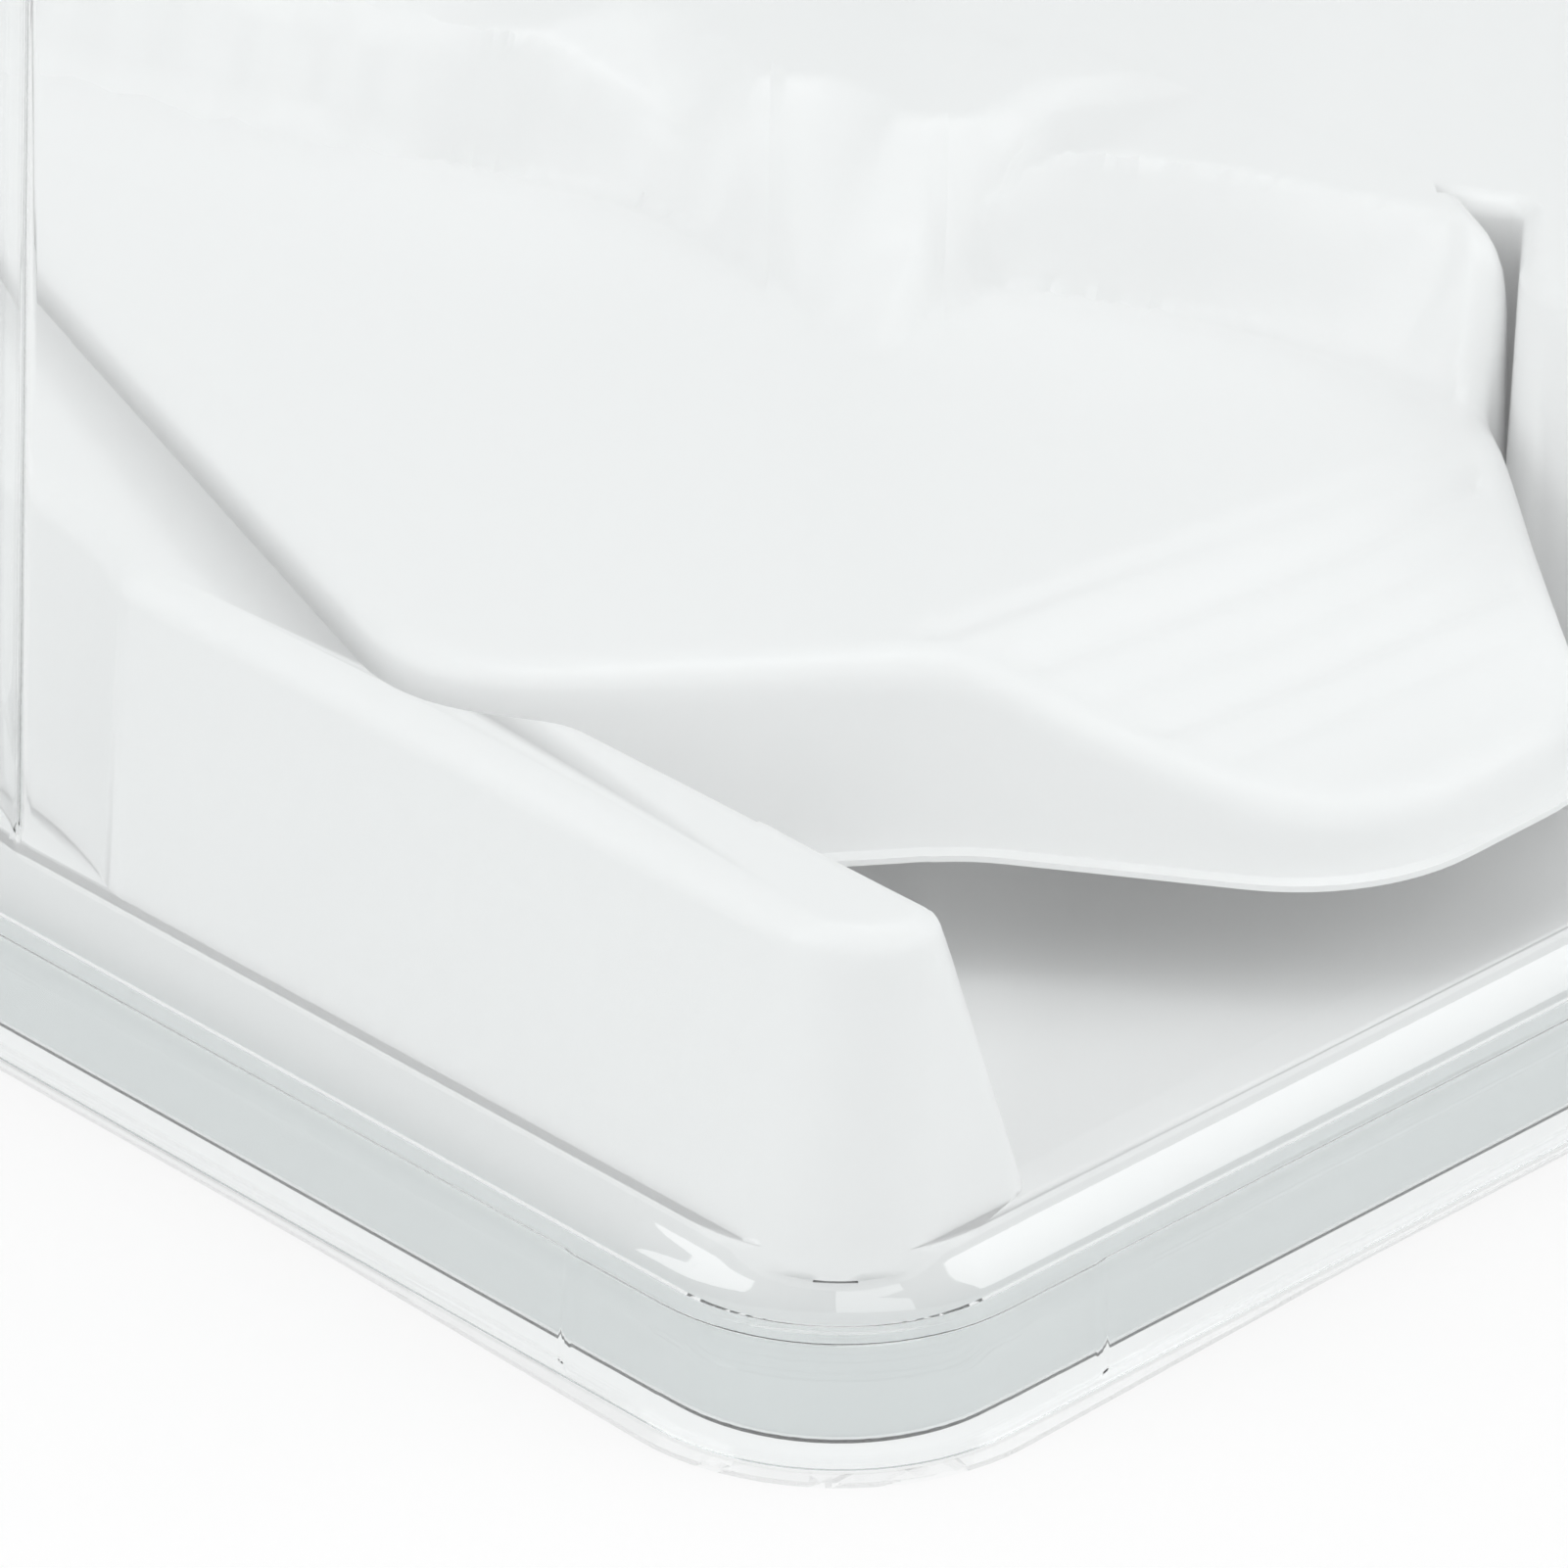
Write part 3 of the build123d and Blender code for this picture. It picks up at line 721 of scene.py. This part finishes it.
    def outer_wall(self) -> Tuple[List[List[Vector]], List[Vector]]:
        """Rows of the outer wall, from the flange's cut edge up to the crest, and the last row in plan.

        Returns:
            The rows, and the plan points where the crest's rounding ends.
        """
        path = rounded_path(self.front_edge, 1.6)
        lean = math.tan(math.radians(self.wall_draft))
        columns = []
        for i, point in enumerate(path):
            ahead = path[min(i + 1, len(path) - 1)] - path[max(i - 1, 0)]
            out = Vector((-ahead.y, ahead.x)).normalized()
            end = point + out * -self.crest_round
            crest = self.crest_height(end.x, end.y)
            foot = (crest - self.flange_z) * lean
            marks = [(foot + self.flange_reach, self.flange_z), (foot + 0.6, self.flange_z),
                     (foot + 0.1, self.flange_z + 0.15), (foot, self.flange_z + 0.7)]
            for share in (0.3, 0.65, 1.0):
                z = self.flange_z + 0.7 + share * (crest - self.crest_round - self.flange_z - 0.7)
                marks.append(((crest - z) * lean, z))
            for turn in (18, 36, 54, 72, 90):
                angle = math.radians(turn)
                marks.append((self.crest_round * (math.cos(angle) - 1),
                              crest - self.crest_round * (1 - math.sin(angle))))
            columns.append([Vector((point.x + out.x * o, point.y + out.y * o, z)) for o, z in marks])
        rows = [list(row) for row in zip(*columns)]
        return rows, [Vector((v.x, v.y)) for v in rows[-1]]

    def breaklines(self) -> List[List[Vector]]:
        """The form's fold lines inside the outer wall.

        Returns:
            Lines of points in millimetres.
        """
        flat = ((self.pocket_foot, None), (self.left_rim, self.rim_z), (self.prow_top, self.rim_z),
                (self.right_rim, self.rim_z))
        lines = []
        for points, z in flat:
            lines.append([Vector((p[0], p[1], self.floor_height(*p) if z is None else z)) for p in points])
        for points in (self.left_web, self.facet, self.right_web):
            lines.append([Vector(p) for p in points])
        return lines

    def step_at(self, a: float, b: float) -> float:
        """Point spacing wanted at a plan point, fine on the ramp and round the prow."""
        if a < 46.0:
            return 0.8
        return 1.1 if a < 136.0 and b > 80.0 else 2.2

    def skin(self) -> bpy.types.Object:
        """Stretch one skin over the outer wall's rows and the fold lines.

        Returns:
            The skin as an object.
        """
        rows, crest = self.outer_wall()
        points: List[Vector] = [v for row in rows for v in row]
        width = len(rows[0])
        faces: List[Tuple[int, ...]] = []
        for r in range(len(rows) - 1):
            for i in range(width - 1):
                faces.append((r * width + i, r * width + i + 1, (r + 1) * width + i + 1, (r + 1) * width + i))
        rim = [Vector((p[0], p[1], self.rim_z)) for p in self.rear_cut]
        border = rows[-1] + rim
        outline = [Vector((v.x, v.y)) for v in border]
        plan = [v.copy() for v in border]
        edges = [(i, (i + 1) % len(border)) for i in range(len(border))]
        for line in self.breaklines():
            start = len(plan)
            plan.append(line[0])
            for p, q in zip(line, line[1:]):
                count = max(1, int(round((q.xy - p.xy).length / self.fold_step)))
                plan += [p.lerp(q, (i + 1) / count) for i in range(count)]
            edges += [(i, i + 1) for i in range(start, len(plan) - 1)]
        coarse = self.triangles(plan, edges, outline)
        form = BVHTree.FromPolygons([Vector(v) for v in coarse[0]], coarse[1])
        near = KDTree(len(plan))
        for i, v in enumerate(plan):
            near.insert(Vector((v.x, v.y, 0.0)), i)
        near.balance()
        foot = [Vector(p) for p in self.pocket_foot]
        floor_area = [c for c in crest if c.x < 188.5 and (c.y < 115.5 or c.x < 39.0)] + foot[::-1]
        for i in range(4, 260):
            for j in range(6, 170):
                a, b = i * self.grid + self.grid / 2 * (j % 2), j * self.grid
                step = self.step_at(a, b)
                stride = max(1, int(round(step / self.grid)))
                if i % stride or j % stride:
                    continue
                place = Vector((a, b))
                if near.find(Vector((a, b, 0.0)))[2] < step * 0.7 or not inside(place, outline):
                    continue
                if inside(place, floor_area):
                    plan.append(Vector((a, b, self.floor_height(a, b) - self.sink(a, b))))
                else:
                    hit = form.ray_cast(Vector((a, b, 200.0)), Vector((0.0, 0.0, -1.0)))
                    if hit[0] is not None:
                        plan.append(Vector((a, b, hit[0].z)))
        fine = self.triangles(plan, edges, outline)
        offset = len(points)
        points += fine[0]
        faces += [tuple(offset + i for i in tri) for tri in fine[1]]
        return mesh_object(self.name, [(RIGHT_END - v.x, v.y - FRONT, v.z) for v in points], faces)

    def triangles(self, plan: Sequence[Vector], edges: Sequence[Tuple[int, int]],
                  outline: Sequence[Vector]) -> Tuple[List[Vector], List[Tuple[int, ...]]]:
        """Span points and fold lines with triangles, seen from above.

        Args:
            plan: points with their heights.
            edges: pairs of points that must share an edge.
            outline: the sheet's border in plan.

        Returns:
            The points and the triangles inside the border.
        """
        result = delaunay_2d_cdt([v.xy for v in plan], list(edges), [], 0, 1e-4, True)
        where, found, origin = result[0], result[2], result[3]
        placed = []
        for place, source in zip(where, origin):
            if source:
                placed.append(plan[source[0]].copy())
            else:
                close = min(plan, key=lambda v: (v.x - place.x) ** 2 + (v.y - place.y) ** 2)
                placed.append(Vector((place.x, place.y, close.z)))
        kept = []
        for tri in found:
            middle = sum((where[i] for i in tri), Vector((0.0, 0.0))) / len(tri)
            if inside(middle, outline):
                kept.append(tuple(tri))
        return placed, kept

    def build(self) -> bpy.types.Object:
        """Form the cradle.

        Returns:
            The piece.
        """
        piece = self.skin()
        work = bmesh.new()
        work.from_mesh(piece.data)
        bmesh.ops.remove_doubles(work, verts=work.verts, dist=0.02 * MM)
        extra = set()
        for edge in work.edges:
            if len(edge.link_faces) > 2:
                extra.update(sorted(edge.link_faces, key=lambda f: f.calc_area())[:len(edge.link_faces) - 2])
        bmesh.ops.delete(work, geom=list(extra), context="FACES")
        bmesh.ops.delete(work, geom=[v for v in work.verts if not v.link_faces], context="VERTS")
        bmesh.ops.recalc_face_normals(work, faces=work.faces)
        work.normal_update()
        if sum(f.normal.z * f.calc_area() for f in work.faces) < 0:
            bmesh.ops.reverse_faces(work, faces=work.faces)
        loose = [v for v in work.verts if not v.is_boundary]
        for _ in range(self.passes):
            bmesh.ops.smooth_vert(work, verts=loose, factor=0.5,
                                  use_axis_x=True, use_axis_y=True, use_axis_z=True)
        work.normal_update()
        work.to_mesh(piece.data)
        work.free()
        thicken(piece, Gauge.WHITE.value)
        self.shade(piece)
        return piece


class WhiteTray(FormedSheet):
    """The tray: floor platform, front guard, stand and back block, as the CAD node's merged mesh."""

    guard_low = 17.5
    guard_top = 48.0
    guard_depth = 34.0
    end_reach = 60.0
    end_run = 42.0
    end_shift = 2.2

    def __init__(self) -> None:
        """Name the tray's node and piece."""
        super().__init__("white_tray", "white_tray_sheet")

    def set_end(self, work: bmesh.types.BMesh) -> None:
        """Stand the guard's right end face more upright, as the sheet has it there."""
        for vert in work.verts:
            a, b, z = RIGHT_END - vert.co.x / MM, FRONT + vert.co.y / MM, vert.co.z / MM
            if a > self.end_reach or b > self.guard_depth or z < self.guard_low:
                continue
            reach = min(1.0, (self.end_reach - a) / self.end_run)
            rise = min(1.0, (z - self.guard_low) / (self.guard_top - self.guard_low))
            vert.co.x += self.end_shift * reach * rise * MM

    def build(self) -> bpy.types.Object:
        """Take the tray over and shade it as one formed skin.

        Returns:
            The piece.
        """
        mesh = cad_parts[self.node].data.copy()
        mesh.name = self.name
        mesh.materials.clear()
        piece = bpy.data.objects.new(self.name, mesh)
        bpy.context.scene.collection.objects.link(piece)
        work = bmesh.new()
        work.from_mesh(mesh)
        bmesh.ops.remove_doubles(work, verts=work.verts, dist=0.004 * MM)
        self.set_end(work)
        work.normal_update()
        work.to_mesh(mesh)
        work.free()
        self.shade(piece)
        return piece


@dataclass(frozen=True)
class Softbox:
    """A large soft lamp that looks at the pack."""

    name: str
    place: Tuple[float, float, float]
    size: Tuple[float, float]
    power: float

    def build(self) -> bpy.types.Object:
        """Hang the lamp.

        Returns:
            The lamp object.
        """
        lamp = bpy.data.lights.new(self.name, "AREA")
        lamp.shape = "RECTANGLE"
        lamp.size, lamp.size_y = self.size
        lamp.energy = self.power
        holder = bpy.data.objects.new(self.name, lamp)
        holder.location = self.place
        aim = Vector((0.0, 0.0, 0.06)) - Vector(self.place)
        holder.rotation_euler = aim.to_track_quat("-Z", "Y").to_euler()
        bpy.context.scene.collection.objects.link(holder)
        return holder


@dataclass
class Studio:
    """Plain pale floor, soft lamps, a bright surround and the photograph's camera."""

    azimuth: float = 45.0
    elevation: float = 29.3
    roll: float = 1.0
    focal_px: float = 12000.0
    frame_px: float = 1601.0
    camera_place: Tuple[float, float, float] = (0.6875, -0.6695, 0.5235)
    surround: str = "#FCFCFC"
    low_strength: float = 0.62
    high_strength: float = 0.76

    def camera(self) -> bpy.types.Object:
        """Set up the camera that matches the photograph.

        Returns:
            The camera object.
        """
        tilt, turn, roll = (math.radians(v) for v in (self.elevation, self.azimuth, self.roll))
        look = Vector((-math.sin(turn) * math.cos(tilt), math.cos(turn) * math.cos(tilt), -math.sin(tilt)))
        right = Vector((math.cos(turn), math.sin(turn), 0.0))
        up = right.cross(look)
        wide = right * math.cos(roll) + up * math.sin(roll)
        tall = up * math.cos(roll) - right * math.sin(roll)
        lens = bpy.data.cameras.new("photo_camera")
        lens.sensor_width = 36.0
        lens.lens = self.focal_px / self.frame_px * lens.sensor_width
        lens.clip_start = 0.05
        holder = bpy.data.objects.new("photo_camera", lens)
        holder.matrix_world = Matrix((
            (wide.x, tall.x, -look.x, self.camera_place[0]),
            (wide.y, tall.y, -look.y, self.camera_place[1]),
            (wide.z, tall.z, -look.z, self.camera_place[2]),
            (0.0, 0.0, 0.0, 1.0)))
        bpy.context.scene.collection.objects.link(holder)
        bpy.context.scene.camera = holder
        return holder

    def floor(self) -> bpy.types.Object:
        """Lay the pale floor.

        Returns:
            The floor object.
        """
        size = 3000.0
        corners = [(-size, -size, 0), (size, -size, 0), (size, size, 0), (-size, size, 0)]
        floor = mesh_object("pale_floor", corners, [(0, 1, 2, 3)])
        floor.data.materials.append(PaleStudioFloor().build())
        return floor

    def world(self) -> None:
        """Light the surround: bright and even, and plain white where the camera sees it."""
        world = bpy.data.worlds.new("bright_surround")
        bpy.context.scene.world = world
        world.use_nodes = True
        tree = world.node_tree
        tree.nodes.clear()
        output = add_node(tree, "ShaderNodeOutputWorld")
        place = add_node(tree, "ShaderNodeTexCoord")
        split = add_node(tree, "ShaderNodeSeparateXYZ", None, {"Vector": place.outputs["Generated"]})
        rise = add_node(tree, "ShaderNodeMapRange", {
            "From Min": -0.1, "From Max": 0.9, "To Min": self.low_strength, "To Max": self.high_strength},
            {"Value": split.outputs["Z"]})
        soft = add_node(tree, "ShaderNodeBackground", {"Color": linear(self.surround)},
                        {"Strength": rise.outputs["Result"]})
        white = add_node(tree, "ShaderNodeBackground", {"Strength": 1.0})
        path = add_node(tree, "ShaderNodeLightPath")
        mix = add_node(tree, "ShaderNodeMixShader", None, {"Fac": path.outputs["Is Camera Ray"]})
        tree.links.new(soft.outputs["Background"], mix.inputs[1])
        tree.links.new(white.outputs["Background"], mix.inputs[2])
        tree.links.new(mix.outputs["Shader"], output.inputs["Surface"])

    def build(self) -> None:
        """Set up the whole studio."""
        bpy.context.scene.view_settings.view_transform = "Standard"
        self.camera()
        self.floor()
        self.world()
        Softbox("left_softbox", (-0.2, -0.77, 0.62), (0.62, 0.7), 2.4).build()
        Softbox("right_softbox", (0.68, 0.57, 0.5), (0.62, 0.7), 2.4).build()
        Softbox("low_fill_softbox", (0.75, -0.38, 0.13), (0.5, 0.22), 0.4).build()
        Softbox("top_softbox", (0.15, -0.1, 1.2), (0.5, 0.5), 1.7).build()


def dress(piece: bpy.types.Object, material: bpy.types.Material, body: str, node: str) -> None:
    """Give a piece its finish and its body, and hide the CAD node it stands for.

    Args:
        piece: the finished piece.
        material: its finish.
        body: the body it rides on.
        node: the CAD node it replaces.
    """
    piece.data.materials.clear()
    piece.data.materials.append(material)
    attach(piece, body)
    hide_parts(node)
    LOG.info("%s: %d faces, rides on %s", piece.name, len(piece.data.polygons), body)


def main() -> None:
    """Build the pack piece by piece and set up the studio."""
    logging.basicConfig(level=logging.INFO, format="%(name)s %(message)s")
    clear = ClearThermoformedPet().build()
    white = WhiteThermoformedPolystyrene().build()
    dress(ClearBase().build(), clear, "base", "clear_base")
    dress(ClearLid().build(), clear, "lid", "clear_lid")
    dress(WhiteTray().build(), white, "base", "white_tray")
    dress(WhiteCradle().build(), white, "base", "white_cradle")
    Studio().build()


if __name__ == "__main__":
    main()
